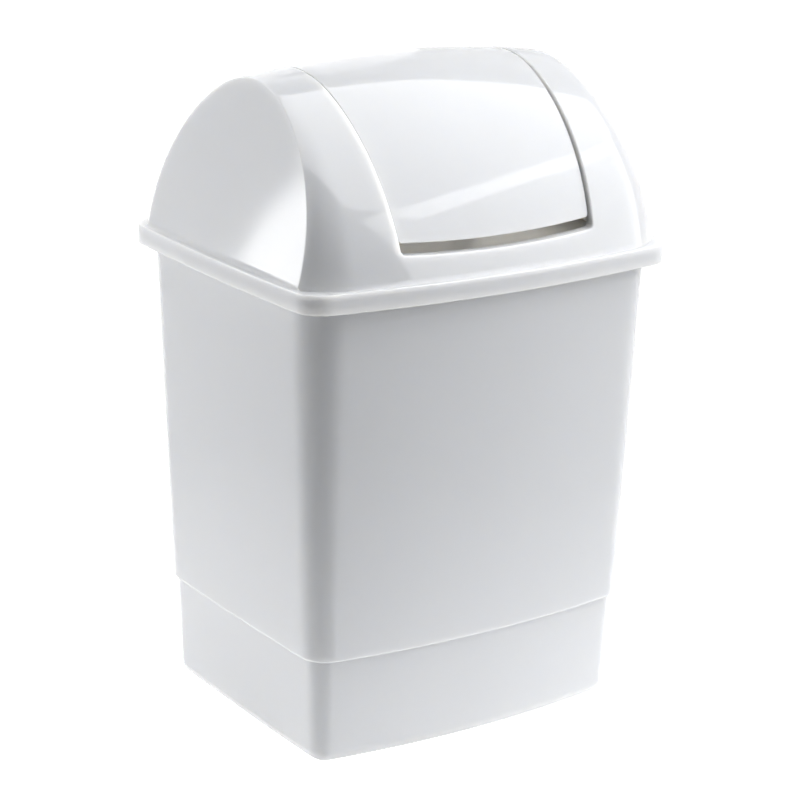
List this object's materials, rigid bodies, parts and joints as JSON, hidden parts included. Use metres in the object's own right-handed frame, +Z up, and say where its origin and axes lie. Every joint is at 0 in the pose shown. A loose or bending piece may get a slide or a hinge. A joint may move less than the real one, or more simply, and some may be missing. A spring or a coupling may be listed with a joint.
{
  "type": "countertop swing-lid bin",
  "caption": "Small tapered plastic bin with a stepped foot and a lift-off domed cover whose arched flap swings both ways on an axle under the crown.",
  "frame": {"origin": "on the ground below the middle of the bin", "axes": "+Z up out of the bin, X along the lid's barrel and the flap's axle, -Y the front; the lid is the same front and back"},
  "size_m": [0.194, 0.171, 0.2997],
  "materials": {
    "white_bucket": "gloss",
    "white_cover": "gloss",
    "white_flap": "gloss"
  },
  "bodies": {
    "bin_body": {"bin_body": "white_bucket"},
    "lid_cover": {"lid_cover": "white_cover"},
    "swing_flap": {"swing_flap": "white_flap"}
  },
  "joints": [
    {"name": "cover_lift", "type": "slide", "parent": "bin_body", "child": "lid_cover", "axis": [0, 0, 1], "range_m": [0, 0.1]},
    {"name": "flap_swing", "type": "hinge", "parent": "lid_cover", "child": "swing_flap", "pos_m": [0, 0, 0.284], "axis": [1, 0, 0], "range_deg": [-75, 75]}
  ]
}
